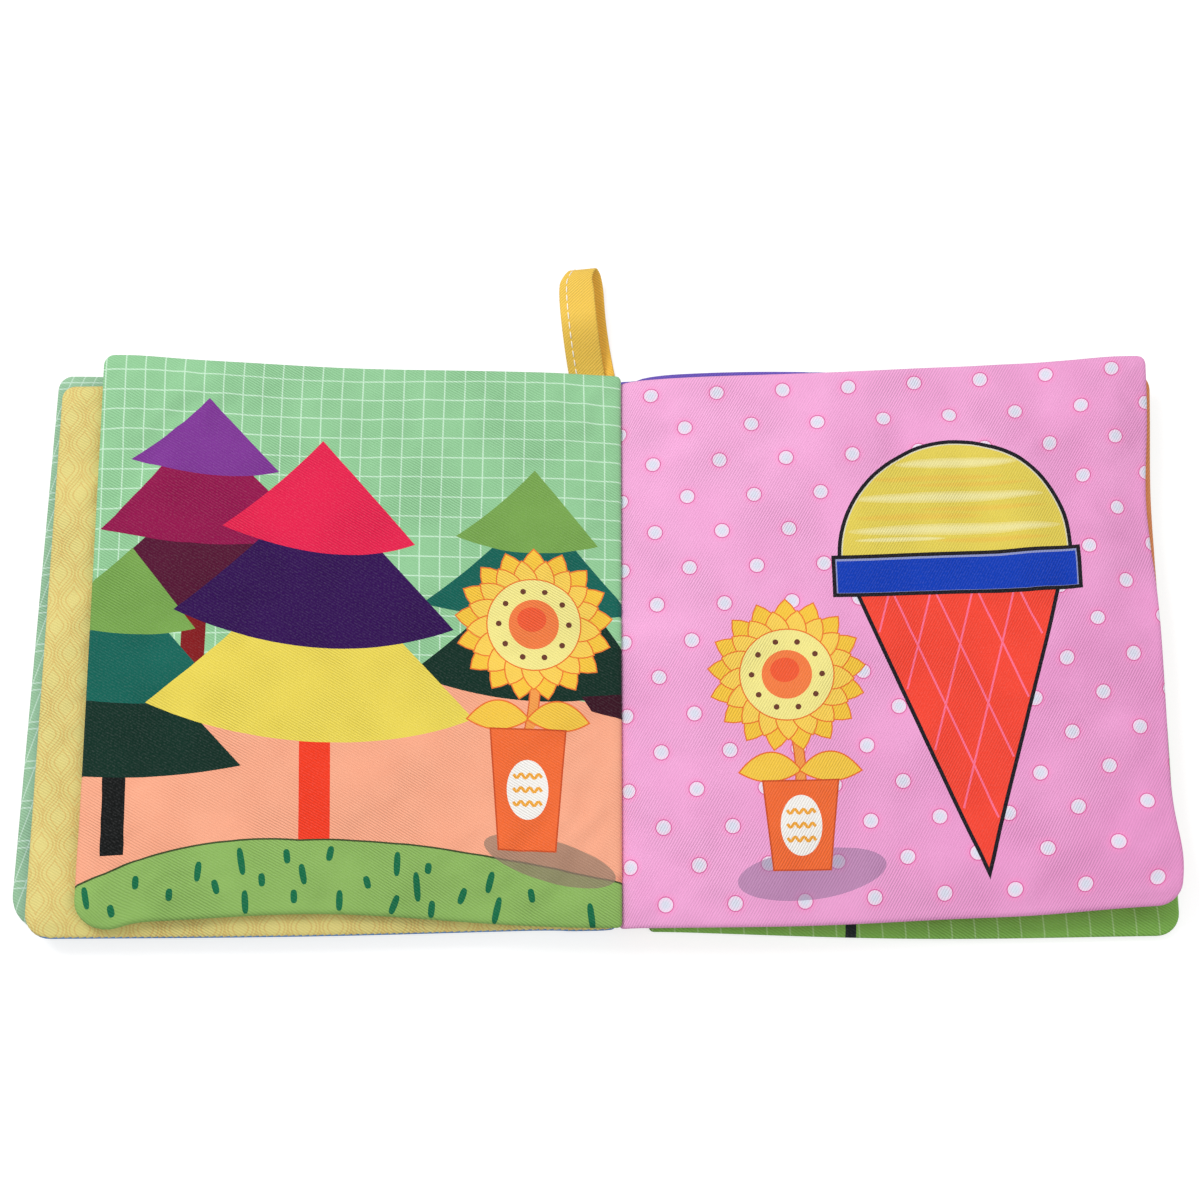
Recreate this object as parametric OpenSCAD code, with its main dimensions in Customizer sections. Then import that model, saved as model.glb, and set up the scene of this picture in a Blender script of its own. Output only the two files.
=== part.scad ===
// Infant's cloth book, lying open and flat. Six padded leaves of printed cloth are sewn to a
// cloth spine: a cover and two pages on each side, with a ribbon loop at the top of the spine.
// X runs across the open book, +Y towards the loop, +Z up. The origin is on the table, under
// the gutter, half way up the spine.

/* [Leaves] */
// Height of a page, from its bottom seam to its top seam
page_h = 174; // [120:1:220]
// Thickness of a leaf where its padding is full
leaf_t = 4.2; // [3:0.1:6]
// Thickness of a leaf at its turned seam
seam_t = 1.4; // [0.8:0.1:2]
// How far in from a seam the padding reaches its full thickness
puff_w = 14; // [8:1:24]
// Radius of a leaf's outer corners
corner_r = 7; // [3:0.5:14]
// Air between two leaves that lie on each other
leaf_gap = 0.4; // [0.3:0.05:1]

/* [Left pages] */
// Width of the left picture page, seen from above
left_top_w = 159.6; // [120:0.2:200]
// Slant of the left picture page's top and bottom seams, in degrees
left_top_slant = 0.9; // [-2:0.1:3]
// Extra height of the left picture page at its fore edge
left_top_flare = 4.6; // [0:0.2:8]
// Width of the page under it
left_under_w = 172.6; // [120:0.2:200]
// How far the page under it has slipped up the spine
left_under_slip = -3.6; // [-6:0.1:6]

/* [Right pages] */
// Width of the right picture page, seen from above
right_top_w = 164.4; // [120:0.2:200]
// Slant of the right picture page's top and bottom seams, in degrees
right_top_slant = 2.2; // [-2:0.1:3]
// Width of the page under it
right_under_w = 166.4; // [120:0.2:200]
// How far the page under it has slipped up the spine
right_under_slip = 3; // [-6:0.1:6]

/* [Covers] */
// Width of a cover, from the spine to its fore edge
cover_w = 158; // [110:1:200]
// How much shorter a cover is than a page
cover_short = 1; // [0:0.5:6]
// How far the front cover has slipped up the spine
front_cover_slip = -2.4; // [-6:0.1:6]

/* [Spine] */
// Width of the cloth spine, which is the thickness of the closed book
spine_w = 26; // [20:0.5:34]
// Thickness of the cloth spine
spine_t = 1.6; // [1:0.1:2.4]
// How far the spine's middle lies to the left of the gutter
spine_offset = 4; // [0:0.5:6]
// Radius of the spine's corners
spine_corner_r = 2; // [1:0.5:5]
// How far in from the gutter the two pages on a side are sewn together
sewn_w = 1.6; // [1:0.1:3]
// How far from the gutter the rolled inner edge of the pages ends
roll_w = 7; // [6:0.5:14]
// How far short of the cover's edge the page above it starts to lift over it
lift_lead = 3; // [2:0.5:6]

/* [Hanging loop] */
// How far the ribbon loop stands out from the spine
loop_len = 34; // [20:1:60]
// Width of the ribbon
ribbon_w = 12; // [6:0.5:20]
// Thickness of the ribbon
ribbon_t = 1.2; // [0.8:0.1:1.8]
// Height of the open loop
loop_h = 10; // [8:0.5:16]
// How far the loop's middle lies to the left of the gutter
loop_offset = 9; // [0:0.5:12]
// How far the loop leans to the left, in degrees
loop_lean = 4; // [-10:0.5:10]

/* [Fits] */
// Air between the spine and what is sewn to it
sewn_gap = 0.3; // [0.3:0.05:0.6]
// Air between the left and right pages in the gutter
gutter_gap = 0.8; // [0.6:0.1:1.6]
// Air between the gutter's middle and the pages on each side as they turn
hinge_clear = 0.3; // [0.3:0.05:1]

/* [Hidden] */

// Steps of a leaf's mesh across its width and up its height
cross_steps = 18;
rise_steps = 20;
// Steps along each side of the loop's outline
loop_steps = 16;

// The spine is as tall as a page
spine_h = page_h;
cover_h = page_h - cover_short;
// Height of the pages' lowest point, where they lie over the spine, and of their highest
seat_z = spine_t + sewn_gap;
stack_z = 3 * leaf_t + 2 * leaf_gap;
// Each side turns about an axis inside the rolled inner edge of its pages
hinge_z = (seat_z + stack_z) / 2;
hinge_x = (stack_z - seat_z) / 2 + hinge_clear;
// The covers' edges butt against the spine, no lower than the table
cover_edge_z = max(spine_t, seam_t) / 2;

// A leaf is a list of: its place in the stack, side (-1 left, 1 right), distance of its inner
// edge from the gutter, width, height, slip, slant and flare.
LEFT_TOP = ["top", -1, gutter_gap / 2, left_top_w, page_h, 0, left_top_slant, left_top_flare];
LEFT_UNDER = ["under", -1, gutter_gap / 2, left_under_w, page_h, left_under_slip, 0, 0];
RIGHT_TOP = ["top", 1, gutter_gap / 2, right_top_w, page_h, 0, right_top_slant, 0];
RIGHT_UNDER = ["under", 1, gutter_gap / 2, right_under_w, page_h, right_under_slip, 0, 0];
FRONT_COVER = ["cover", -1, cover_start(-1), cover_w, cover_h, front_cover_slip, 0, 0];
BACK_COVER = ["cover", 1, cover_start(1), cover_w, cover_h, 0, 0, 0];

// Distance of a cover's inner edge from the gutter
function cover_start(side) = spine_w / 2 - side * spine_offset + sewn_gap;
// A quarter of a circle: 0 at the edge, 1 at distance w and beyond
function round_rise(d, w) = sqrt(1 - pow(1 - min(max(d / w, 0), 1), 2));
// From -1 to 1 in steps that are short at both ends
function spread(i, steps) = -cos(180 * i / steps);
// How far a leaf's fore edge is cut back at height y by its round corner
function corner_cut(y, h) =
    corner_r - sqrt(pow(corner_r, 2) - pow(max(0, abs(y) - (h / 2 - corner_r)), 2));

// Thickness of a leaf at distance x from its inner edge, away from its other seams
function inner_thick(x) = seam_t + (leaf_t - seam_t) * round_rise(x, puff_w);

// Height of a leaf's middle at distance x from its inner edge
function leaf_middle(leaf, x) =
    let (
        roll = 1 - round_rise(x, roll_w),
        over = x + leaf[2] - cover_start(leaf[1]) + lift_lead
    )
    leaf[0] == "cover" ? cover_edge_z + (leaf_t / 2 - cover_edge_z) * round_rise(x, puff_w) :
    leaf[0] == "under" ? seat_z + (hinge_z - seam_t - seat_z) * roll
        + (leaf_t + leaf_gap - seat_z) * round_rise(over, puff_w) + inner_thick(x) / 2 :
    stack_z - (stack_z - hinge_z - seam_t) * roll - inner_thick(x) / 2;

// Distance from the inner edge of step j across a leaf of width w: the sewn strip, then steps
// that are short at both ends
function step_out(j, w) =
    j == 0 ? 0 : sewn_w + (w - sewn_w) * (1 + spread(j - 1, cross_steps - 1)) / 2;

// One point of a leaf: i steps up its height, j steps out from the gutter,
// face 1 on top and -1 underneath
function leaf_point(leaf, i, j, face) =
    let (
        h = leaf[4],
        y = spread(i, rise_steps) * h / 2,
        w = leaf[3] - corner_cut(y, h),
        x = step_out(j, w),
        inset = min(x, w - x, h / 2 - abs(y)),
        thick = seam_t + (leaf_t - seam_t) * round_rise(inset, puff_w),
        share = x / leaf[3]
    )
    [
        leaf[1] * (leaf[2] + x),
        y * (1 + share * leaf[7] / h) + share * leaf[5] + x * tan(leaf[6]),
        leaf_middle(leaf, x) + face * thick / 2
    ];

// Two triangles for a face with four corners
function two(a, b, c, d) = [[a, b, c], [a, c, d]];
// Turns the faces of a mirrored leaf the right way round
function turned(faces, side) = side > 0 ? faces : [for (f = faces) [f[2], f[1], f[0]]];

// One padded leaf as a closed mesh. A ring holds the underside from the gutter outwards and
// then the top face back again.
module padded_leaf(leaf) {
    n = cross_steps;
    ring = 2 * (n + 1);
    points = [
        for (i = [0 : rise_steps]) each [
            for (j = [0 : n]) leaf_point(leaf, i, j, -1),
            for (j = [n : -1 : 0]) leaf_point(leaf, i, j, 1)
        ]
    ];
    sides = [
        for (i = [0 : rise_steps - 1], k = [0 : ring - 1]) let (m = (k + 1) % ring)
            each two(i * ring + k, (i + 1) * ring + k, (i + 1) * ring + m, i * ring + m)
    ];
    last = rise_steps * ring;
    caps = [
        for (j = [0 : n - 1]) each concat(
            two(j, j + 1, ring - 2 - j, ring - 1 - j),
            two(last + ring - 1 - j, last + ring - 2 - j, last + j + 1, last + j)
        )
    ];
    polyhedron(points, turned(concat(sides, caps), leaf[1]), convexity = 6);
}

// Two padded leaves whose inner edges are sewn together, as one closed mesh. A ring runs out
// under the lower leaf, back over it to the seam, out under the upper leaf and back on top.
module sewn_leaves(lower, upper) {
    n = cross_steps;
    ring = 4 * n + 2;
    over = n + 1;
    under = over + n;
    top = under + n;
    points = [
        for (i = [0 : rise_steps]) each [
            for (j = [0 : n]) leaf_point(lower, i, j, -1),
            for (j = [n : -1 : 1]) leaf_point(lower, i, j, 1),
            for (j = [1 : n]) leaf_point(upper, i, j, -1),
            for (j = [n : -1 : 0]) leaf_point(upper, i, j, 1)
        ]
    ];
    sides = [
        for (i = [0 : rise_steps - 1], k = [0 : ring - 1]) let (m = (k + 1) % ring)
            each two(i * ring + k, (i + 1) * ring + k, (i + 1) * ring + m, i * ring + m)
    ];
    // One end of the leaves: the sewn strip as a fan, then each leaf by itself
    strip = [0, 1, under - 1, under, top + n - 1];
    end = concat(
        [for (k = [0 : 3]) [ring - 1, strip[k], strip[k + 1]]],
        [for (j = [1 : n - 1]) each two(j, j + 1, over + n - j - 1, over + n - j)],
        [for (j = [1 : n - 1]) each two(under + j - 1, under + j, top + n - j - 1, top + n - j)]
    );
    last = rise_steps * ring;
    far_end = [for (f = end) [last + f[2], last + f[1], last + f[0]]];
    polyhedron(points, turned(concat(sides, end, far_end), lower[1]), convexity = 10);
}

// Half the height of the loop's outline at share q of its length, for ribbons that are base
// thick together where they are sewn in and reach a height of tall
function loop_half(q, base, tall) =
    let (s = min(q / 0.6, 1))
    (base + (tall - base) * s * s * (3 - 2 * s)) / 2 * sqrt(1 - pow(q, 6));
// Height of the loop's middle, which lifts off the table towards the open end
function loop_mid(q) =
    let (s = min(q / 0.55, 1))
    ribbon_t + (loop_h / 2 + ribbon_t / 2 - ribbon_t) * s * s * (3 - 2 * s);

// The loop's outline seen from the side: start and end along the loop, and its two heights
function loop_outline(start, finish, base, tall) =
    let (q = [for (k = [0 : loop_steps]) sin(90 * k / loop_steps)])
    concat(
        [for (k = [0 : loop_steps]) let (p = start + (finish - start) * q[k])
            [p, loop_mid(p / loop_len) + loop_half(q[k], base, tall)]],
        [for (k = [loop_steps - 1 : -1 : 0]) let (p = start + (finish - start) * q[k])
            [p, loop_mid(p / loop_len) - loop_half(q[k], base, tall)]]
    );

module front_cover() {
    color("#8fc9a6") padded_leaf(FRONT_COVER);
}

module back_cover() {
    color("#649f45") padded_leaf(BACK_COVER);
}

module left_pages() {
    color("#8acba0") sewn_leaves(LEFT_UNDER, LEFT_TOP);
}

module right_pages() {
    color("#ee96d2") sewn_leaves(RIGHT_UNDER, RIGHT_TOP);
}

// The cloth strip between the covers, with round corners
module spine() {
    across = spine_w / 2 - spine_corner_r;
    along = spine_h / 2 - spine_corner_r;
    color("#4c6fb0") translate([-spine_offset, 0, 0]) linear_extrude(height = spine_t)
        union() {
            square([2 * across, spine_h], center = true);
            square([spine_w, 2 * along], center = true);
            for (x = [-across, across], y = [-along, along])
                translate([x, y]) circle(r = spine_corner_r, $fn = 32);
        }
}

// One length of ribbon, folded and sewn into the top end of the spine
module hanging_loop() {
    inner_start = loop_len * 0.16;
    lean_room = ribbon_w / 2 * abs(sin(loop_lean));
    color("#e8bf4a") translate([-loop_offset, spine_h / 2 + sewn_gap + lean_room, 0])
        rotate([0, 0, loop_lean]) translate([-ribbon_w / 2, 0, 0])
            rotate([90, 0, 90]) linear_extrude(height = ribbon_w)
                difference() {
                    polygon(loop_outline(0, loop_len, 2 * ribbon_t, loop_h));
                    polygon(loop_outline(inner_start, loop_len - ribbon_t, 0.2,
                                         loop_h - 2 * ribbon_t));
                }
}

front_cover();
left_pages();
spine();
right_pages();
back_cover();
hanging_loop();
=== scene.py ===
"""Looks of a padded cloth book that lies open: printed leaves, cloth spine and ribbon loop."""

import math

import bmesh
import bpy
import numpy as np
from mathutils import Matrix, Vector
from mathutils.geometry import delaunay_2d_cdt
from mathutils.kdtree import KDTree


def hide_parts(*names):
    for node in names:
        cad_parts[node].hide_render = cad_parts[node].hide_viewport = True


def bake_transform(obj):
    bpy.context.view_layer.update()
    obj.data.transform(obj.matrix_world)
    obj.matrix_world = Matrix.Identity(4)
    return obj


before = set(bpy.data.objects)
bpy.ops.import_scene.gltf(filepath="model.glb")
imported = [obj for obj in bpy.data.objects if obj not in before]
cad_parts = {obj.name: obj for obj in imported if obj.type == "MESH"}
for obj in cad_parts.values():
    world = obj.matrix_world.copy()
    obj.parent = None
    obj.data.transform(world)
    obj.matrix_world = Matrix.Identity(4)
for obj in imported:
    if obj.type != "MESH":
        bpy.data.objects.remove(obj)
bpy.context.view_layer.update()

MM = 0.001

# Sizes of the book in millimetres, as its solids have them
PAGE_H = 174.0
LEAF_T = 4.2
SEAM_T = 1.4
PUFF_W = 14.0
LEAF_GAP = 0.4
SEWN_GAP = 0.3
LIFT_LEAD = 3.0
SPINE_W = 26.0
SPINE_T = 1.6
SPINE_OFFSET = 4.0
SEAT_Z = SPINE_T + SEWN_GAP
STACK_Z = 3 * LEAF_T + 2 * LEAF_GAP
HINGE_Z = (SEAT_Z + STACK_Z) / 2
COVER_EDGE_Z = SPINE_T / 2
COVER_START = {-1: SPINE_W / 2 + SPINE_OFFSET + SEWN_GAP, 1: SPINE_W / 2 - SPINE_OFFSET + SEWN_GAP}

# The turned seam of a leaf rolls over this far in from its edge
ROLL_EDGE = 1.3
# Distances in from the seam at which the cloth has a row of points
EDGE_ROWS = (0.12, 0.4, 0.8, 1.3, 2.1, 3.2)
CLOTH_STEP = 2.1

# Colours, nodes and objects


def to_linear(code):
    """An sRGB hex colour as linear red, green, blue and 1."""
    parts = [int(code[k:k + 2], 16) / 255 for k in (1, 3, 5)]
    return [c / 12.92 if c <= 0.04045 else ((c + 0.055) / 1.055) ** 2.4 for c in parts] + [1.0]


def add(tree, kind, links=(), **settings):
    """Adds a node with its settings. links gives each input a value, a socket or a node."""
    made = tree.nodes.new(kind)
    for key, value in settings.items():
        setattr(made, key, value)
    for key, value in dict(links).items():
        if isinstance(value, bpy.types.Node):
            value = value.outputs[0]
        if isinstance(value, bpy.types.NodeSocket):
            tree.links.new(value, made.inputs[key])
        else:
            made.inputs[key].default_value = value
    return made


def linked(name, data):
    """A new object that holds the data, in the scene."""
    made = bpy.data.objects.new(name, data)
    bpy.context.scene.collection.objects.link(made)
    return made


def blank_material(name):
    """A new material and its empty node tree."""
    material = bpy.data.materials.new(name)
    material.use_nodes = True
    material.node_tree.nodes.clear()
    return material, material.node_tree


# Camera, light and floor. The camera is fitted to the book's corners in the photo.
CAMERA_TILT = math.radians(73.3)
CAMERA_DISTANCE = 0.852
CAMERA_TARGET = Vector((-0.0052, 0.0126, 0.012))
FRAME_PIXELS = 1200
PIXELS_PER_METRE = 3295.0
SENSOR = 36

camera_data = bpy.data.cameras.new("camera")
camera = linked("camera", camera_data)
back = Vector((0, -math.cos(CAMERA_TILT), math.sin(CAMERA_TILT)))
camera.location = CAMERA_TARGET + back * CAMERA_DISTANCE
camera.rotation_euler = (math.pi / 2 - CAMERA_TILT, 0, 0)
camera_data.sensor_width = SENSOR
camera_data.lens = SENSOR * CAMERA_DISTANCE / (FRAME_PIXELS / PIXELS_PER_METRE)
camera_data.clip_start = 0.05
bpy.context.scene.camera = camera
bpy.context.scene.view_settings.view_transform = "Standard"


def soft_lamp(name, place, size, watts):
    """A round lamp that faces the book."""
    data = bpy.data.lights.new(name, "AREA")
    data.shape = "DISK"
    data.size = size
    data.energy = watts
    lamp = linked(name, data)
    lamp.location = place
    lamp.rotation_euler = (-Vector(place)).to_track_quat("-Z", "Y").to_euler()


soft_lamp("key_light", (-0.9, 0.75, 1.25), 0.9, 16)
soft_lamp("fill_light", (1.1, -0.6, 1.4), 1.2, 7)

world = bpy.data.worlds.new("studio")
bpy.context.scene.world = world
world.use_nodes = True
tree = world.node_tree
tree.nodes.clear()
rays = add(tree, "ShaderNodeLightPath")
seen = add(tree, "ShaderNodeMath", {0: rays.outputs["Is Camera Ray"],
                                    1: rays.outputs["Is Glossy Ray"]}, operation="MAXIMUM")
seen = add(tree, "ShaderNodeMath", {0: seen.outputs[0],
                                    1: rays.outputs["Is Transmission Ray"]}, operation="MAXIMUM")
room = add(tree, "ShaderNodeBackground", {"Color": (1, 1, 1, 1), "Strength": 0.62})
white = add(tree, "ShaderNodeBackground", {"Color": (1, 1, 1, 1), "Strength": 1.0})
both = add(tree, "ShaderNodeMixShader", {0: seen.outputs[0], 1: room.outputs[0],
                                         2: white.outputs[0]})
add(tree, "ShaderNodeOutputWorld", {"Surface": both.outputs[0]})

# Floor: white studio card. It lifts to white for the camera and keeps the book's soft shadow.
bpy.ops.object.select_all(action="DESELECT")
bpy.ops.mesh.primitive_plane_add(size=6, location=(0, 0, 0))
floor = bpy.context.object
floor.name = "studio_floor"
card, tree = blank_material("studio_card")
rays = add(tree, "ShaderNodeLightPath")
seen = add(tree, "ShaderNodeMath", {0: rays.outputs["Is Camera Ray"],
                                    1: rays.outputs["Is Glossy Ray"]}, operation="MAXIMUM")
lift = add(tree, "ShaderNodeMath", {0: seen.outputs[0], 1: 0.64}, operation="MULTIPLY")
matt = add(tree, "ShaderNodeBsdfDiffuse", {"Color": (0.5, 0.5, 0.5, 1)})
glow = add(tree, "ShaderNodeEmission", {"Color": (1, 1, 1, 1), "Strength": lift.outputs[0]})
whole = add(tree, "ShaderNodeAddShader", {0: matt.outputs[0], 1: glow.outputs[0]})
add(tree, "ShaderNodeOutputMaterial", {"Surface": whole.outputs[0]})
floor.data.materials.append(card)

# The leaves' shape


def round_rise(d, w):
    """A quarter of a circle: 0 at the edge, 1 at distance w and beyond."""
    return np.sqrt(1 - (1 - np.clip(np.asarray(d, float) / w, 0, 1)) ** 2)


def smooth(t):
    """A soft step from 0 to 1."""
    t = np.clip(t, 0, 1)
    return t * t * (3 - 2 * t)


# Each leaf: its place in the stack, side, distance from the gutter, width and height, and how it
# lies: slip, slant and flare as in the solids, then how its soft cloth has shifted in use.
# roll and drop: width and depth of the rolled edge at the gutter. sways: (rise, place, width) of
# parts that moved up. bows and crowns: the same near the foot edge and near the head edge, the
# last value how near. dip: fall of the head edge at the gutter, and how far it runs. spread: more
# width at the foot. bulges: (place, width, swell) of the fore edge. lift: the foot edge raised
# towards the fore edge. corners: radius at the fore edge's head and foot, then at the gutter.
PLAIN = dict(slip=0, slant=0, flare=0, roll=7, drop=0, wave=0, sways=(), bows=(), crowns=(),
             dip=(0, 9), spread=0, bulges=(), lift=0, corners=(7, 7, 1.5, 1.5))
LEAVES = {
    "left_picture_page": dict(
        layer="top", side=-1, start=-1.3, width=161.0, height=PAGE_H, slant=0.9, flare=4.6,
        roll=3.2, drop=1.0, wave=1.0, sways=((-0.9, 0, 60),), dip=(-1.0, 14),
        bows=((3.3, 88, 46, 3), (-2.0, 151, 6, 80)),
        crowns=((-1.4, 80, 40, 12), (0.9, 153, 15, 12)), corners=(3.4, 6.5, 1.5, 1.5)),
    "left_under_page": dict(
        layer="under", side=-1, start=0.4, width=172.6, height=PAGE_H, slip=-3.2, wave=0.55,
        spread=2.2, sways=((-0.8, 90, 60),), corners=(4, 8, 1.5, 1.5)),
    "front_cover_leaf": dict(
        layer="cover", side=-1, start=COVER_START[-1], width=157.9, height=PAGE_H - 1, slip=1.0,
        flare=3.0, spread=5.2, corners=(4.5, 11, 1.5, 1.5)),
    "right_picture_page": dict(
        layer="top", side=1, start=0.4, width=164.4, height=PAGE_H, slant=2.05, flare=-0.9,
        roll=9, drop=3.7, wave=1.0, sways=((-2.3, 62, 62), (-0.8, 122, 22)), dip=(-3.1, 22),
        bulges=((-74, 13, 2.2), (38, 24, -2.4)), corners=(2.6, 6.5, 1.6, 1.5)),
    "right_under_page": dict(
        layer="under", side=1, start=0.4, width=166.4, height=PAGE_H, slip=1.6, wave=0.55,
        sways=((1.3, 42, 36),), lift=6.4, spread=-3.4, bulges=((44, 26, -1.1),), dip=(-1.6, 8),
        corners=(6, 6, 1.5, 1.5)),
    "back_cover_leaf": dict(
        layer="cover", side=1, start=COVER_START[1], width=157.6, height=PAGE_H - 1, slip=-1.2,
        sways=((-2.2, 80, 70),), bulges=((40, 36, -3.2),), corners=(5, 7, 1.5, 1.5)),
}
for leaf in LEAVES.values():
    leaf.update({key: value for key, value in PLAIN.items() if key not in leaf})


def leaf_inset(leaf, x, y, less=0.0):
    """Distance in from a leaf's outline, whose outer corners are round."""
    w, h = leaf["width"] - 2 * less, leaf["height"] - 2 * less
    head, foot, inner_head, inner_foot = leaf["corners"]
    r = np.where(np.asarray(x) > leaf["width"] / 2, np.where(np.asarray(y) > 0, head, foot),
                 np.where(np.asarray(y) > 0, inner_head, inner_foot))
    qx = np.abs(x - leaf["width"] / 2) - (w / 2 - r)
    qy = np.abs(y) - (h / 2 - r)
    return r - np.hypot(np.maximum(qx, 0), np.maximum(qy, 0)) - np.minimum(np.maximum(qx, qy), 0)


def leaf_middle(leaf, x):
    """Height of a leaf's middle at distance x from its inner edge."""
    inner = SEAM_T + (LEAF_T - SEAM_T) * round_rise(x, PUFF_W)
    roll = 1 - round_rise(x, leaf["roll"])
    if leaf["layer"] == "cover":
        return COVER_EDGE_Z + (LEAF_T / 2 - COVER_EDGE_Z) * round_rise(x, PUFF_W)
    if leaf["layer"] == "under":
        over = x + leaf["start"] - COVER_START[leaf["side"]] + LIFT_LEAD
        return (SEAT_Z + (HINGE_Z - SEAM_T - SEAT_Z) * roll + inner / 2
                + (LEAF_T + LEAF_GAP - SEAT_Z) * round_rise(over, PUFF_W))
    return STACK_Z - leaf["drop"] * roll - inner / 2


# Soft waves of the pages on each side: (x, y, length, width, turn in degrees, height), in mm
WAVES = {
    -1: ((-150, -70, 34, 13, 35, 1.5), (-118, 79, 40, 8, -4, 0.9), (-40, -66, 60, 10, 6, 0.9),
         (-70, 30, 60, 26, 80, 0.8), (-22, 40, 60, 12, 88, 0.6), (-100, -78, 30, 9, 0, 1.2)),
    1: ((148, 30, 60, 8, 84, 2.0), (126, 34, 50, 8, 98, 1.6), (158, -66, 30, 12, -50, 1.5),
        (95, 77, 50, 6, -3, -0.9), (60, 62, 60, 9, -5, 0.9), (40, -20, 80, 22, 80, 0.8),
        (95, -76, 50, 9, 5, 1.0), (150, 25, 15, 3.2, -12, -1.1), (146, 33, 14, 4, -16, 0.8)),
}


def drape(side, u, v):
    """How far the pages on one side bulge off a flat stack."""
    total = np.zeros(np.shape(u))
    for cx, cy, length, width, turn, height in WAVES[side]:
        c, s = math.cos(math.radians(turn)), math.sin(math.radians(turn))
        along = ((u - cx) * c + (v - cy) * s) / length
        across = (-(u - cx) * s + (v - cy) * c) / width
        total = total + height * np.exp(-along ** 2 - across ** 2)
    return total * smooth(np.abs(u) / 22)


def leaf_points(leaf, x, y, face, pucker):
    """Places points of a leaf: face is 1 on top, -1 underneath and 0 on the seam."""
    inset = np.maximum(leaf_inset(leaf, x, y), 0)
    far_x = leaf["width"] - x
    far_y = leaf["height"] / 2 - np.abs(y)
    full = round_rise(x, PUFF_W) * round_rise(far_x, PUFF_W) * round_rise(far_y, PUFF_W)
    full = np.minimum(full, round_rise(inset, PUFF_W))
    half = SEAM_T / 2 * round_rise(inset, ROLL_EDGE) + (LEAF_T - SEAM_T) / 2 * full
    share = x / leaf["width"]
    up = y * (1 + share * leaf["flare"] / leaf["height"]) + share * leaf["slip"]
    up = up + x * math.tan(math.radians(leaf["slant"]))
    low = (leaf["height"] / 2 - y) / leaf["height"]
    for rise, at, wide in leaf["sways"]:
        up = up + rise * np.exp(-((x - at) / wide) ** 2)
    for end, key in ((low, "bows"), (1 - low, "crowns")):
        for rise, at, wide, near in leaf[key]:
            up = up + smooth(end) ** near * rise * np.exp(-((x - at) / wide) ** 2)
    dip, reach = leaf["dip"]
    up = up + dip * np.exp(-x / reach) * smooth(1 - low) ** 6
    up = up + leaf["lift"] * share * low
    out = leaf["start"] + x + share * leaf["spread"] * low
    for at, wide, swell in leaf["bulges"]:
        out = out + swell * np.exp(-((y - at) / wide) ** 2) * share ** 4
    out = leaf["side"] * out
    lift = leaf["wave"] * drape(leaf["side"], leaf["side"] * x, y)
    height = leaf_middle(leaf, x) + lift + face * half + pucker * smooth(inset / 5)
    return np.stack([out, up, height], 1) * MM


# Puckers: a leaf of each side is sewn flat and filled by simulation, and every leaf keeps small
# folds of one of them


def cubic(grid, gx, gy):
    """Smooth values between the points of a grid, rows along y."""
    total = np.zeros(len(gx))
    ix, iy = np.floor(gx).astype(int), np.floor(gy).astype(int)
    tx, ty = gx - ix, gy - iy

    def weights(t):
        return (((2 - t) * t - 1) * t / 2, ((3 * t - 5) * t * t + 2) / 2,
                ((4 - 3 * t) * t + 1) * t / 2, (t - 1) * t * t / 2)

    for j, wy in enumerate(weights(ty)):
        row = np.clip(iy + j - 1, 0, grid.shape[0] - 1)
        for i, wx in enumerate(weights(tx)):
            col = np.clip(ix + i - 1, 0, grid.shape[1] - 1)
            total += wx * wy * grid[row, col]
    return total


SEW_STEP = 3.7
PUCKER_MAX = 0.55
FILL_RISE = 1.3
FILL_CHANCE = 0.12
FILL_FRAMES = 20
LEVEL_TURNS = 28


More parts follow.
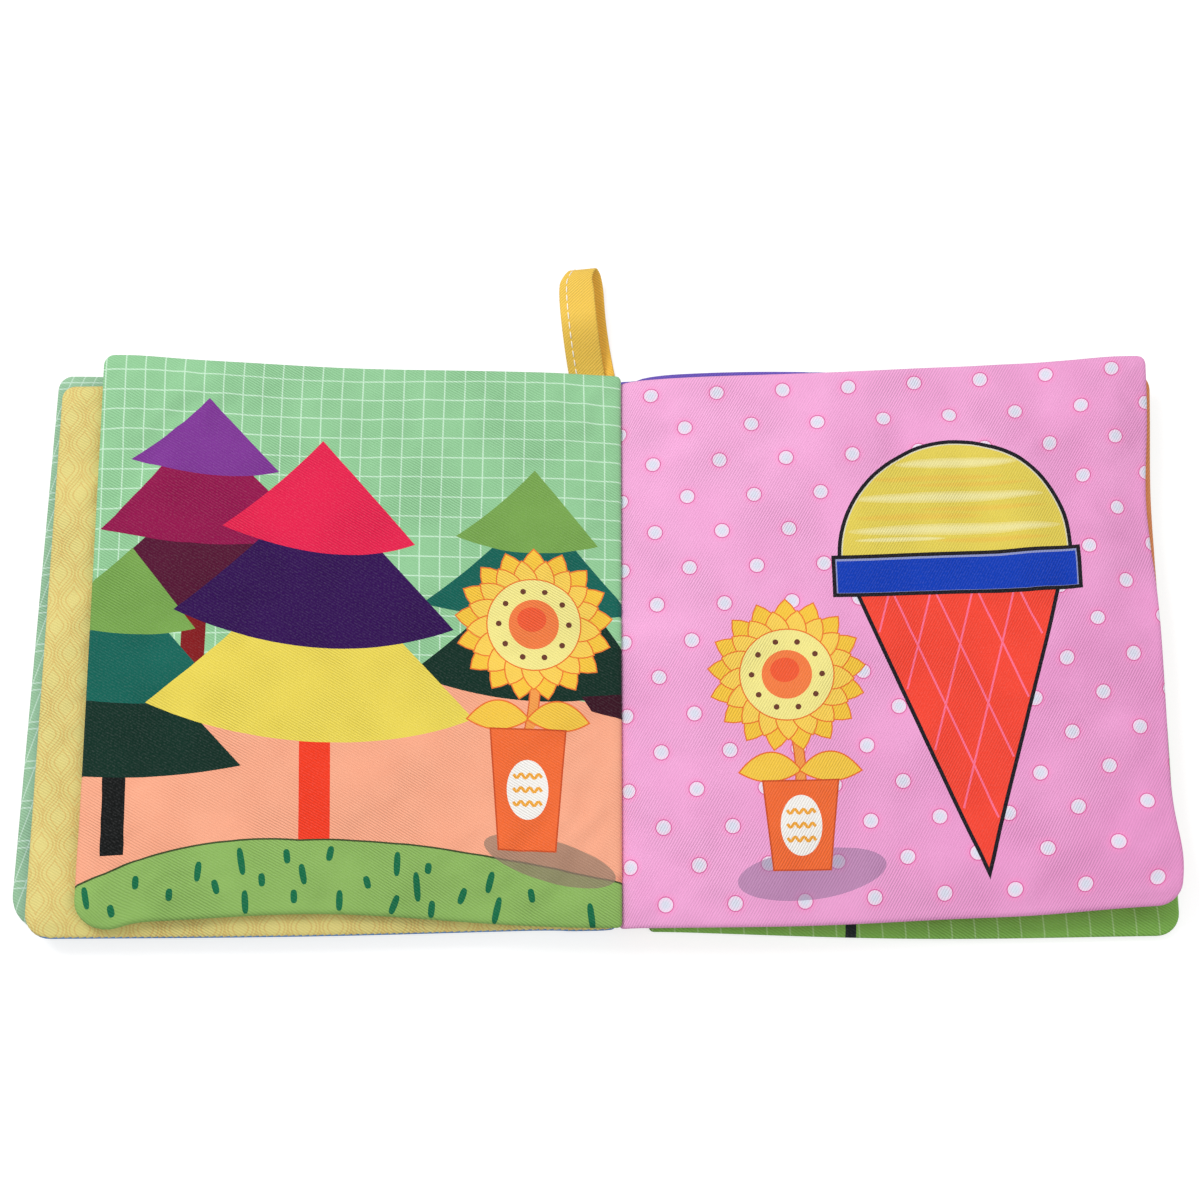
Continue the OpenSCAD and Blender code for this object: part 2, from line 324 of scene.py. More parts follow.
def filled_leaf(width, height, seed):
    """Blows up a flat sewn leaf and returns the folds of its top and underside on a grid."""
    nx, ny = round(width / SEW_STEP), round(height / SEW_STEP)
    gx, gy = np.meshgrid(np.arange(nx + 1), np.arange(ny + 1))
    x, y = gx * width / nx, gy * height / ny - height / 2
    edge = (gx == 0) | (gx == nx) | (gy == 0) | (gy == ny)
    rise = round_rise(np.minimum.reduce([x, width - x, height / 2 - np.abs(y)]), PUFF_W)
    chance = np.random.default_rng(seed).normal(0, FILL_CHANCE, (2,) + x.shape)
    tops = np.where(edge, 0, FILL_RISE * rise + chance[0])
    lows = np.where(edge, 0, -FILL_RISE * rise + chance[1])
    count = x.size
    top_index = np.arange(count).reshape(x.shape)
    low_index = np.where(edge, top_index, count + top_index)
    used = np.concatenate([np.ones(count, bool), ~edge.ravel()])
    places = np.concatenate([np.stack([x, y, tops], -1).reshape(-1, 3),
                             np.stack([x, y, lows], -1).reshape(-1, 3)]) * MM
    number = np.cumsum(used) - 1
    faces = []
    for j in range(ny):
        for i in range(nx):
            a, b, c, d = (j, i), (j, i + 1), (j + 1, i + 1), (j + 1, i)
            faces.append([int(number[top_index[k]]) for k in (a, b, c, d)])
            faces.append([int(number[low_index[k]]) for k in (d, c, b, a)])
    mesh = bpy.data.meshes.new("sewn_leaf")
    mesh.from_pydata([tuple(p) for p in places[used]], [], faces)
    pad = linked("sewn_leaf", mesh)
    seam = pad.vertex_groups.new(name="seam")
    seam.add([int(k) for k in number[top_index[edge]]], 1.0, "REPLACE")
    cloth = pad.modifiers.new("filled", "CLOTH")
    for key, value in dict(
            quality=6, mass=0.12, tension_stiffness=20, compression_stiffness=20,
            shear_stiffness=8, bending_stiffness=0.08, shrink_min=-0.03, use_pressure=True,
            uniform_pressure_force=4, vertex_group_mass="seam").items():
        setattr(cloth.settings, key, value)
    cloth.settings.effector_weights.gravity = 0
    cloth.point_cache.frame_start = 1
    cloth.point_cache.frame_end = FILL_FRAMES
    for step in range(1, FILL_FRAMES + 1):
        bpy.context.scene.frame_set(step)
    seen_mesh = pad.evaluated_get(bpy.context.evaluated_depsgraph_get()).to_mesh()
    moved = np.zeros(len(mesh.vertices) * 3)
    seen_mesh.vertices.foreach_get("co", moved)
    heights = moved.reshape(-1, 3)[:, 2] / MM
    bpy.data.objects.remove(pad)
    bpy.data.meshes.remove(mesh)
    bpy.context.scene.frame_set(1)
    folds = []
    for index in (top_index, low_index):
        z = heights[number[index]]
        wide = z.copy()
        for turn in range(LEVEL_TURNS):
            padded = np.pad(wide, 1, mode="edge")
            wide = (padded[:-2, 1:-1] + padded[2:, 1:-1] + padded[1:-1, :-2]
                    + padded[1:-1, 2:] + 4 * wide) / 8
        folds.append(PUCKER_MAX * np.tanh((z - wide) / PUCKER_MAX))
    return folds


FOLDS = {"left": filled_leaf(160, PAGE_H, 5), "right": filled_leaf(165, PAGE_H, 11)}


def pucker_at(leaf, x, y, face, sewn):
    """Height of a leaf's small folds. sewn says which filled leaf, which face and its turn."""
    which, side_of, turned = sewn
    grid = FOLDS[which][side_of]
    across, rise = x / leaf["width"], y / leaf["height"] + 0.5
    if turned:
        across, rise = 1 - across, 1 - rise
    fold = cubic(grid, across * (grid.shape[1] - 1), rise * (grid.shape[0] - 1))
    return fold if face > 0 and leaf["layer"] == "top" else -face * np.minimum(-np.abs(fold), 0)


# Printed shapes: outlines in millimetres on a page, from its gutter and its middle


def finer(outline, step=1.6, closed=True):
    """The same outline with points at most a step apart."""
    outline = np.asarray(outline, float)
    after = np.roll(outline, -1, 0) if closed else outline[1:]
    parts = []
    for a, b in zip(outline, after):
        count = max(1, math.ceil(np.hypot(*(b - a)) / step))
        parts.append(a + (b - a) * (np.arange(count) / count)[:, None])
    if not closed:
        parts.append(outline[-1:])
    return np.concatenate(parts)


def bend(a, b, low, steps=24):
    """Points on a curve from a to b whose middle passes through low, without its last point."""
    a, b, low = (np.asarray(p, float) for p in (a, b, low))
    pull = 2 * low - (a + b) / 2
    t = (np.arange(steps) / steps)[:, None]
    return (1 - t) ** 2 * a + 2 * t * (1 - t) * pull + t * t * b


def tier(apex, left, right, low):
    """One tier of a fir: a fan with a sagging lower edge."""
    apex, left, right = (np.asarray(p, float) for p in (apex, left, right))
    shoulder = (apex + left) / 2 + (left - apex) @ np.array([[0, 1], [-1, 0]]) * 0.03
    return finer(np.concatenate([bend(apex, left, shoulder, 8), bend(left, right, low),
                                 [right]]))


def block(x0, y0, x1, y1, lean=0.0):
    """A trunk or a band: a rectangle whose top may lean."""
    return finer([(x0, y0), (x1, y0), (x1 + lean, y1), (x0 + lean, y1)])


def oval(cx, cy, rx, ry, turn=0.0, steps=36, blunt=1.0):
    """An oval turned by degrees. blunt under 1 squares it off."""
    a = np.arange(steps) * 2 * math.pi / steps
    c, s = math.cos(math.radians(turn)), math.sin(math.radians(turn))
    x, y = (r * np.sign(w) * np.abs(w) ** blunt for r, w in ((rx, np.cos(a)), (ry, np.sin(a))))
    return np.stack([cx + x * c - y * s, cy + x * s + y * c], 1)


def band(points, width):
    """A line of even width along points."""
    points = finer(points, 2.0, closed=False)
    along = np.gradient(points, axis=0)
    along /= np.hypot(*along.T)[:, None]
    off = along @ np.array([[0, 1], [-1, 0]]) * width / 2
    return np.concatenate([points + off, (points - off)[::-1]])


def grown(outline, by):
    """The same outline with its sides moved out, its corners kept sharp."""
    before = outline - np.roll(outline, 1, 0)
    after = np.roll(outline, -1, 0) - outline
    turn = np.array([[0, -1], [1, 0]])
    n0 = before @ turn / np.hypot(*before.T)[:, None]
    n1 = after @ turn / np.hypot(*after.T)[:, None]
    x, y = outline.T
    around = np.sign(np.sum(x * np.roll(y, -1) - np.roll(x, -1) * y))
    mitre = (n0 + n1) / np.sum((n0 + n1) * n0, 1)[:, None]
    return outline + mitre * by * around


def petal(cx, cy, inner, outer, wide, turn):
    """A pointed petal that points away from a flower's centre."""
    t = np.linspace(0, 1, 9)
    reach = inner + (outer - inner) * t
    half = wide / 2 * np.sin(math.pi * t ** 0.8) ** 0.75
    x = np.concatenate([reach, reach[-2:0:-1]])
    y = np.concatenate([half, -half[-2:0:-1]])
    c, s = math.cos(turn), math.sin(turn)
    return np.stack([cx + x * c - y * s, cy + x * s + y * c], 1)


def potted_flower(cx, cy, foot, lean):
    """A big yellow flower in an orange pot, as a list of (outline, colour, cover)."""
    pot_top, pot_low = cy - 33, foot
    pot_x = cx + lean
    rooted = (pot_x, pot_top - 2)
    stem = bend((cx, cy - 10), rooted, (cx + lean / 2 + 1.2, cy - 22), 10)
    stem = np.concatenate([stem, [rooted]])
    made = [(band(stem, 3.4), "#D9602C", 1), (band(stem, 2.6), "#EF9A4A", 1)]
    for way in (-1, 1):
        leaf = np.concatenate([bend((0, 0), (18, -0.5), (9, 5.4), 14),
                               bend((18, -0.5), (0, 0), (9, -3.2), 14)]) * (way, 1)
        leaf = leaf + (pot_x, pot_top + 3.4)
        made.append((grown(leaf, 0.45), "#E8702E", 1))
        made.append((leaf, "#F0C445", 1))
    pot = np.array([(-11, 0), (11, 0), (8.2, pot_low - pot_top), (-8.2, pot_low - pot_top)])
    pot = finer(pot + (pot_x, pot_top))
    made.append((grown(pot, 0.5), "#C94F22", 1))
    made.append((pot, "#EE6A33", 1))
    middle = (pot_top + pot_low) / 2
    made.append((oval(pot_x, middle, 6.2, 9.2), "#F2EFEA", 1))
    for k in (-1, 0, 1):
        x = np.linspace(-4.2, 4.2, 22)
        y = 0.7 * np.sin(x * 2.4) + k * 4.2 + middle
        made.append((band(np.stack([x + pot_x, y], 1), 0.9), "#EFA83C", 1))
    for ring, (count, inner, outer, wide) in enumerate(((17, 9, 23.5, 8.4), (17, 9, 20, 7.0))):
        for k in range(count):
            turn = (k + 0.5 * ring) * 2 * math.pi / count + 0.1
            shape = petal(cx, cy, inner, outer, wide, turn)
            made.append((grown(shape, 0.4), "#E8782E", 1))
            made.append((shape, "#F2C33E" if ring == 0 else "#F4CC55", 1))
    made += [(oval(cx, cy, 14.4, 14.4, steps=48), "#E8782E", 1),
             (oval(cx, cy, 14.0, 14.0, steps=48), "#EFE48C", 1),
             (oval(cx, cy, 7.6, 7.6), "#F07C42", 1),
             (oval(cx - 0.6, cy + 1.4, 4.4, 3.8), "#EE5A33", 1)]
    for k in range(10):
        turn = k * math.pi / 5
        made.append((oval(cx + 10.6 * math.cos(turn), cy + 10.6 * math.sin(turn), 0.9, 0.9,
                          steps=10), "#6A3A28", 1))
    return made


def left_print():
    """Firs on a hill, and a potted flower."""
    made = [
        (finer([(-176, -100), (9, -100), (8.7, -22), (-26, -17), (-57, -12), (-101, -11),
                (-176, -12)]), "#F3A787", 1),
        # Far fir on the right
        (tier((-22.5, 30.3), (-63.8, -12.2), (8.5, -14.5), (-27, -19.4)), "#032B20", 1),
        (finer([(-12, -17.6), (4, -16), (4, -25), (-9, -22)]), "#35061C", 1),
        (tier((-26.3, 42.8), (-60.4, 10), (3.1, 8.5), (-28, 6)), "#096054", 1),
        (tier((-26.5, 53.6), (-50.5, 31.6), (-7.1, 29.9), (-29, 27.2)), "#75A24D", 1),
        # Tall fir at the back
        (block(-133, -18, -125.7, 19), "#7E1116", 1),
        (tier((-127.4, 49.5), (-150.3, 24.6), (-97, 14), (-128.6, 4.6)), "#51082F", 1),
        (tier((-130.5, 66.5), (-159.2, 31.7), (-93.5, 30.5), (-124, 27.4)), "#8F0A4A", 1),
        (tier((-127.2, 74), (-150.8, 53.7), (-105, 50.8), (-125, 49.2)), "#7B3391", 1),
        # Fir at the fore edge
        (block(-153.9, -67.9, -146.9, -41, -0.8), "#060909", 1),
        (tier((-148.5, -3.1), (-185.4, -40.3), (-113.4, -41.8), (-148, -44.6)), "#032B20", 1),
        (tier((-149.4, 13.9), (-182.4, -17), (-120.2, -19), (-148, -22)), "#096054", 1),
        (tier((-149, 26), (-177, 4), (-128.8, 1.1), (-150, -0.7)), "#75A24D", 1),
        # Near fir
        (block(-95.5, -69, -86.2, -30, -0.9), "#EF3B1F", 1),
        (tier((-94, 26.5), (-142.9, -21.8), (-44.3, -25.6), (-91, -34.6)), "#E5D154", 1),
        (tier((-93.5, 48), (-135.7, 7), (-50.7, 2.1), (-91, -4.9)), "#2F0350", 1),
        (tier((-91.7, 61.4), (-121.8, 33.3), (-62.8, 28.4), (-89, 24.9)), "#E01E4C", 1),
    ]
    crest = np.concatenate([bend((-176, -85), (-95, -65.3), (-137, -68)),
                            bend((-95, -65.3), (12, -76.5), (-43, -67.2)), [(12, -76.5)]])
    ground = np.concatenate([finer(crest, 2, closed=False), [(12, -100), (-176, -100)]])
    made.append((finer(ground), "#8AB35E", 1))
    made.append((band(crest, 0.55), "#3A4A26", 1))
    made.append((oval(-21.3, -68, 20, 6.2, -14), "#8C7766", 0.75))
    chance = np.random.default_rng(3)
    for row in range(4):
        for k in range(11):
            u = -155 + k * 14.4 + 5.5 * (row % 2) + chance.uniform(-3, 3)
            top = -66 - 0.0020 * (u + 92) ** 2
            v = top - 4.5 - 5.8 * row + chance.uniform(-1.2, 1.2)
            if v < -85:
                continue
            lean = chance.uniform(-22, 22)
            size = chance.uniform(1.4, 4.4)
            made.append((oval(u, v, 1.0, size, lean, 14, 0.7), "#0B6B45", 1))
    return made + potted_flower(-26.5, 4.6, -65, -1.5)


def right_print():
    """An ice cream cone beside a potted flower."""
    made = [(oval(56.8, -72, 22, 7.6, 6), "#8F7399", 0.62)]
    made += potted_flower(50.5, -11, -70.5, 3.5)
    ink = "#14101A"
    outline = 1.2
    cone = finer([(72.2, 16), (134, 16), (108.6, -72.4)], 2.2)
    made += [(grown(cone, outline), ink, 1), (cone, "#F14634", 1)]
    # Lattice lines run only between the cone's two sides
    for k in range(-2, 6):
        for start, run in ((83.3, 37.0), (82.0, -24.0)):
            head = np.array((start + 12.75 * k, 13.4))
            steps = head + np.linspace(0, 1, 90)[:, None] * (run, -90)
            kept = steps[inside(steps, grown(cone, -0.4))]
            if len(kept) > 4:
                made.append((band(kept[[0, -1]], 0.6), "#F8708F", 1))
    angle = np.linspace(0, math.pi, 48)
    middle, wide, tall = (102.9, 26.0), 35.0, 34.5
    scoop = np.stack([middle[0] + wide * np.cos(angle), middle[1] + tall * np.sin(angle)], 1)
    scoop = np.concatenate([scoop, [(67.9, 20), (137.9, 20)]])
    made += [(grown(scoop, outline), ink, 1), (scoop, "#D9D5B8", 1),
             (grown(scoop, -0.4), "#DFCB55", 1)]
    # Soft streaks, each of nested ovals that stop short of the scoop's edge
    for k, (u, v, long, thick) in enumerate((
            (104, 54.2, 19, 1.7), (97, 49.6, 22, 1.1), (108, 47.2, 19, 0.9),
            (101, 43.4, 30, 1.8), (112, 39.4, 20, 1.0), (92, 37.4, 20, 1.3),
            (103, 33.0, 33, 1.9), (86, 30.4, 14, 0.8), (115, 29.2, 18, 1.0))):
        pale = k in (0, 3, 6, 7)
        for part in (1.0, 0.72, 0.42):
            streak = finer(oval(u, v, long * (0.7 + 0.3 * part), thick * part, -1.0), 1.8)
            high = (streak[:, 1] - middle[1]) / tall
            reach = wide * np.sqrt(np.clip(1 - high ** 2, 0, 1)) - 0.9
            streak[:, 0] = np.clip(streak[:, 0], middle[0] - reach, middle[0] + reach)
            made.append((streak, "#EFE9B0" if pale else "#E9B94C", 0.30 if pale else 0.22))
    bar = finer([(66, 24.9), (140.2, 24.3), (140, 12.9), (66.2, 14)], 2.2)
    made += [(grown(bar, outline), ink, 1), (bar, "#8C94C4", 1),
             (grown(bar, -0.4) - (0, 0.3), "#073BB4", 1)]
    return made


def inside(points, outline):
    """Which points lie in an outline."""
    low, high = outline.min(0), outline.max(0)
    near = np.all((points >= low) & (points <= high), 1)
    if not near.any():
        return near
    x, y = points[near].T
    hit = np.zeros(len(x), bool)
    for (x0, y0), (x1, y1) in zip(outline, np.roll(outline, -1, 0)):
        if y0 == y1:
            continue
        crosses = (y0 > y) != (y1 > y)
        hit ^= crosses & (x < (x1 - x0) * (y - y0) / (y1 - y0) + x0)
    found = np.zeros(len(points), bool)
    found[near] = hit
    return found


# Meshes


def outline_row(leaf, less):
    """Points round a leaf, a little in from its seam."""
    w, h = leaf["width"], leaf["height"]
    head, foot, inner_head, inner_foot = leaf["corners"]
    made = []
    for cx, cy, r, first in ((w, h / 2, head, 0), (0, h / 2, inner_head, 90),
                             (0, -h / 2, inner_foot, 180), (w, -h / 2, foot, 270)):
        r_in = max(r - less, 0.4)
        mx = cx - less - r_in if cx > 0 else less + r_in
        my = cy - less - r_in if cy > 0 else cy + less + r_in
        count = 9 if r > 3 else 4
        for k in range(count):
            a = math.radians(first + 90 * k / (count - 1))
            made.append((mx + r_in * math.cos(a), my + r_in * math.sin(a)))
    return finer(made, CLOTH_STEP)


def triangles(points, edges):
    """Triangles between points that keep the edges. Gives points, faces and each one's source."""
    found = delaunay_2d_cdt([Vector(p) for p in points], edges, [], 0, 1e-4)
    return np.array([tuple(p) for p in found[0]]), found[2], found[3]


def loop_edges(first, count):
    """Edges round a closed row of points."""
    return [(first + k, first + (k + 1) % count) for k in range(count)]


def seen_lines(shapes):
    """Points and edges of the printed outlines, without what later shapes cover."""
    made = []
    for k, (outline, _, _) in enumerate(shapes):
        hidden = np.zeros(len(outline), bool)
        for later, _, cover in shapes[k + 1:]:
            if cover == 1:
                hidden |= inside(outline, later)
        links = [(a, b) for a, b in loop_edges(0, len(outline)) if not (hidden[a] and hidden[b])]
        used = sorted({a for pair in links for a in pair})
        if used:
            number = {old: new for new, old in enumerate(used)}
            made.append((outline[used], [(number[a], number[b]) for a, b in links]))
    return made


def arc_length(leaf):
    """Length along a leaf's cloth at each distance from its inner edge."""
    x = np.linspace(0, leaf["width"], 1200)
    z = leaf_middle(leaf, x) + LEAF_T / 2 * round_rise(x, PUFF_W)
    return x, np.concatenate([[0], np.cumsum(np.hypot(np.diff(x), np.diff(z)))])


def faces_within(leaf, flat, faces):
    """The faces whose middle lies on the leaf, and their middles."""
    middles = np.array([flat[list(f)].mean(0) for f in faces])
    held = leaf_inset(leaf, *middles.T) > 1e-3
    return [f for f, ok in zip(faces, held) if ok], middles[held]


def smooth_piece(name, mesh, material):
    """The object of a finished mesh, shaded smooth."""
    mesh.polygons.foreach_set("use_smooth", np.ones(len(mesh.polygons), bool))
    mesh.materials.append(material)
    return linked(name, mesh)


def cloth_leaf(name, shapes, sewn, material, edge_ink=None):
    """Makes a padded leaf whose print is cut into its faces."""
    leaf = LEAVES[name]
    side = leaf["side"]
    shapes = [(outline * (side, 1), ink, cover) for outline, ink, cover in shapes]
    outer = outline_row(leaf, 0)
    fixed = [outer] + [outline_row(leaf, d) for d in EDGE_ROWS]
    gx = np.arange(EDGE_ROWS[-1] + 1.6, leaf["width"] - EDGE_ROWS[-1], CLOTH_STEP)
    gy = np.arange(-leaf["height"] / 2 + 4.6, leaf["height"] / 2 - 4.4, CLOTH_STEP)
    gx, gy = (g.ravel() for g in np.meshgrid(gx, gy))
    keep = leaf_inset(leaf, gx, gy) > EDGE_ROWS[-1] + 1.0
    inner = np.stack([gx[keep], gy[keep]], 1)
    plain = np.concatenate([*fixed[1:], inner])

    # Cloth points too close to a printed edge give way to it
    lines = seen_lines(shapes)
    marks = np.concatenate([o for o, _ in lines]) if lines else np.zeros((0, 2))
    if len(marks):
        near = KDTree(len(marks))
        for k, p in enumerate(marks):
            near.insert((p[0], p[1], 0), k)
        near.balance()
        clear = [near.find((p[0], p[1], 0))[2] > 0.75 for p in plain]
        plain = plain[np.array(clear)]
    points = [outer, plain]
    edges = loop_edges(0, len(outer))
    first = len(outer) + len(plain)
    for line, links in lines:
        points.append(line)
        edges += [(first + a, first + b) for a, b in links]
        first += len(line)
    flat, faces, _ = triangles(np.concatenate(points), edges)
    faces, middles = faces_within(leaf, flat, faces)
    used = sorted({k for f in faces for k in f})
    number = {old: new for new, old in enumerate(used)}
    flat = flat[used]
    faces = [tuple(number[k] for k in f) for f in faces]

    # The underside shares the seam's points
    sides = {}
    for f in faces:
        for a, b in zip(f, f[1:] + f[:1]):
            if (b, a) in sides:
                del sides[(b, a)]
            else:
                sides[(a, b)] = True
    following = {a: b for a, b in sides}
    rim = [next(iter(following))]
    while following[rim[-1]] != rim[0]:
        rim.append(following[rim[-1]])
    below = np.concatenate([flat[rim], *fixed[1:], inner])
    low_flat, low_faces, came_from = triangles(below, loop_edges(0, len(rim)))
    low_faces, low_middles = faces_within(leaf, low_flat, low_faces)
    link, extra = {}, []
    for k, source in enumerate(came_from):
        seam = [s for s in source if s < len(rim)]
        if seam:
            link[k] = rim[seam[0]]
        else:
            link[k] = len(flat) + len(extra)
            extra.append(k)
    low_flat = low_flat[extra]
    low_faces = [tuple(link[k] for k in f)[::-1] for f in low_faces]

    on_rim = np.zeros(len(flat), bool)
    on_rim[rim] = True
    top = leaf_points(leaf, *flat.T, np.where(on_rim, 0, 1),
                      np.where(on_rim, 0, pucker_at(leaf, *flat.T, 1, sewn)))
    low = leaf_points(leaf, *low_flat.T, -np.ones(len(low_flat)),
                      pucker_at(leaf, *low_flat.T, -1, (sewn[0], 1, sewn[2])))
    everything = np.concatenate([flat, low_flat])
    all_faces = faces + low_faces
    if side < 0:
        all_faces = [f[::-1] for f in all_faces]
    mesh = bpy.data.meshes.new(name)
    mesh.from_pydata([tuple(p) for p in np.concatenate([top, low])], [], all_faces)

    # Ink: painted in order, the last shape on top. Alpha 0 shows the cloth's own pattern.
    ink = np.zeros((len(all_faces), 4))
    for start, middle in ((0, middles), (len(faces), low_middles)):
        for outline, colour, cover in shapes:
            hit = inside(middle, outline)
            if start:
                hit &= leaf_inset(leaf, *middle.T) < EDGE_ROWS[3]
            here = ink[start:start + len(middle)]
            kept = here[hit, 3:] * (1 - cover)
            total = kept + cover
            over = np.array(to_linear(colour)[:3])
            here[hit, :3] = (here[hit, :3] * kept + over * cover) / total
            here[hit, 3:] = total
    if edge_ink:
        # The reverse's colour also shows on the turned seam at the foot
        foot = leaf_inset(leaf, *middles.T) < 0.3
        foot &= middles[:, 1] < 1 - leaf["height"] / 2
        ink[:len(faces)][foot] = to_linear(edge_ink)[:3] + [1]
        ink[len(faces):] = to_linear(edge_ink)[:3] + [1]
    layer = mesh.color_attributes.new("ink", "FLOAT_COLOR", "CORNER")
    layer.data.foreach_set("color", np.repeat(ink, 3, 0).ravel())
    # The cloth's own coordinates, in metres from the gutter and from the page's middle
    at, length = arc_length(leaf)
    u = side * np.interp(everything[:, 0], at, length) * MM
    v = everything[:, 1] * MM
    corners = np.array([k for f in all_faces for k in f])
    uv = mesh.uv_layers.new(name="cloth")
    uv.data.foreach_set("uv", np.stack([u[corners], v[corners]], 1).ravel())
    return smooth_piece(name, mesh, material)


# Materials

# Twill ribs lie 0.76 mm apart, a little further than the real cloth's, so that they show
RIB = 0.76 * MM


def twill(name, pattern, rib_turn, roughness=0.85):
    """Polyester twill, printed by heat transfer: matt, with fine slanting ribs, painted shade
    in their grooves and pale specks on their crests, partly fibre flecks and partly painted
    highlight. pattern paints the ground from the cloth's u and v. rib_turn is in degrees."""
    material, tree = blank_material(name)
    cloth = add(tree, "ShaderNodeUVMap", uv_map="cloth")
    where = add(tree, "ShaderNodeSeparateXYZ", {0: cloth})
    u, v = where.outputs[0], where.outputs[1]
    ground = pattern(tree, cloth, u, v)
    # The ink attribute: print on the leaves, painted light on the ribbon's lower strand
    printed = add(tree, "ShaderNodeAttribute", attribute_type="GEOMETRY", attribute_name="ink")
    base = add(tree, "ShaderNodeMix", {0: printed.outputs["Alpha"], 6: ground,
                                       7: printed.outputs["Color"]}, data_type="RGBA")
    # Ink takes unevenly in patches about 12 mm across
    patch = add(tree, "ShaderNodeTexNoise", {"Vector": cloth, "Scale": 85.0, "Detail": 3.0,
                                             "Roughness": 0.6})
    patch = add(tree, "ShaderNodeMapRange", {"Value": patch, "From Min": 0.3, "From Max": 0.7,
                                             "To Min": 0.35, "To Max": 0.65})
    base = add(tree, "ShaderNodeMix", {0: 0.16, 6: base.outputs[2], 7: patch},
               data_type="RGBA", blend_type="SOFT_LIGHT")
    # Ribs: the distance across them wanders a little, like the yarn
    turn = math.radians(rib_turn)
    across = add(tree, "ShaderNodeMath", {0: u, 1: -math.sin(turn)}, operation="MULTIPLY")
    across = add(tree, "ShaderNodeMath", {0: v, 1: math.cos(turn), 2: across},
                 operation="MULTIPLY_ADD")
    wander = add(tree, "ShaderNodeTexNoise", {"Vector": cloth, "Scale": 700.0, "Detail": 2.0})
    across = add(tree, "ShaderNodeMath", {0: wander, 1: 0.35 * RIB, 2: across},
                 operation="MULTIPLY_ADD")
    rib = add(tree, "ShaderNodeMath", {0: across, 1: RIB / 2}, operation="PINGPONG")
    rib = add(tree, "ShaderNodeMath", {0: rib, 1: RIB / 2}, operation="DIVIDE")
    groove_shade = add(tree, "ShaderNodeMapRange", {"Value": rib, "From Min": 0.1, "From Max": 0.6,
                                              "To Min": 1.0, "To Max": 0.0})
    # Painted shade: the grooves between the ribs are darkened towards black, more in some places
    # than in others
    uneven = add(tree, "ShaderNodeTexNoise", {"Vector": cloth, "Scale": 40.0, "Detail": 1.0})
    uneven = add(tree, "ShaderNodeMapRange", {"Value": uneven, "From Min": 0.35, "From Max": 0.65,
                                              "To Min": 0.10, "To Max": 0.36})
    groove_shade = add(tree, "ShaderNodeMath", {0: groove_shade, 1: uneven}, operation="MULTIPLY")
    base = add(tree, "ShaderNodeMix", {0: groove_shade, 6: base.outputs[2], 7: (0, 0, 0, 1)},
               data_type="RGBA")
    # Pale specks on the rib crests: partly fibre flecks, partly painted highlight
    speck_and_highlight = add(tree, "ShaderNodeTexNoise", {"Vector": cloth, "Scale": 1500.0, "Detail": 1.0})
    speck_and_highlight = add(tree, "ShaderNodeMapRange", {"Value": speck_and_highlight, "From Min": 0.4, "From Max": 0.75,
                                             "To Min": 0.004, "To Max": 0.05})
    speck_and_highlight = add(tree, "ShaderNodeMath", {0: speck_and_highlight, 1: rib}, operation="MULTIPLY")
    base = add(tree, "ShaderNodeMix", {0: speck_and_highlight, 6: base.outputs[2], 7: (0.72, 0.72, 0.74, 1)},
               data_type="RGBA")
    bump = add(tree, "ShaderNodeBump", {"Height": rib, "Strength": 0.35, "Distance": 0.00025})
    shader = add(tree, "ShaderNodeBsdfPrincipled", {
        "Base Color": base.outputs[2], "Roughness": roughness, "IOR": 1.5,
        "Specular IOR Level": 0.12, "Sheen Weight": 0.04, "Sheen Roughness": 0.45,
        "Normal": bump})
    add(tree, "ShaderNodeOutputMaterial", {"Surface": shader})
    return material


def thin_lines(tree, place, pitch, half):
    """1 on lines a pitch apart, 0 between them. Lengths in mm."""
    soft = 0.12
    place = add(tree, "ShaderNodeMath", {0: place, 1: pitch / 2 * MM}, operation="ADD")
    away = add(tree, "ShaderNodeMath", {0: place, 1: pitch / 2 * MM}, operation="PINGPONG")
    away = add(tree, "ShaderNodeMath", {0: pitch / 2 * MM, 1: away}, operation="SUBTRACT")
    return add(tree, "ShaderNodeMapRange", {
        "Value": away, "From Min": (half - soft) * MM, "From Max": (half + soft) * MM,
        "To Min": 1.0, "To Max": 0.0})


def painted(tree, ground, lines, code, cover):
    """The ground colour with lines drawn over it."""
    cover = add(tree, "ShaderNodeMath", {0: lines, 1: cover}, operation="MULTIPLY")
    return add(tree, "ShaderNodeMix", {0: cover, 6: ground, 7: to_linear(code)},
               data_type="RGBA").outputs[2]


def mint_grid(tree, cloth, u, v):
    """Mint ground with thin white lines 6.3 mm apart that bend a little."""
    drift = add(tree, "ShaderNodeTexNoise", {"Vector": cloth, "Scale": 9.0, "Detail": 1.0})
    drift = add(tree, "ShaderNodeMath", {0: drift, 1: 5 * MM, 2: -2.5 * MM},
                operation="MULTIPLY_ADD")
    across = add(tree, "ShaderNodeMath", {0: u, 1: drift}, operation="ADD")
    rise = add(tree, "ShaderNodeMath", {0: v, 1: drift}, operation="ADD")
    lines = add(tree, "ShaderNodeMath", {0: thin_lines(tree, across, 6.15, 0.19),
                                         1: thin_lines(tree, rise, 6.35, 0.19)},
                operation="MAXIMUM")
    return painted(tree, to_linear("#90C795"), lines, "#D6F3DC", 0.72)


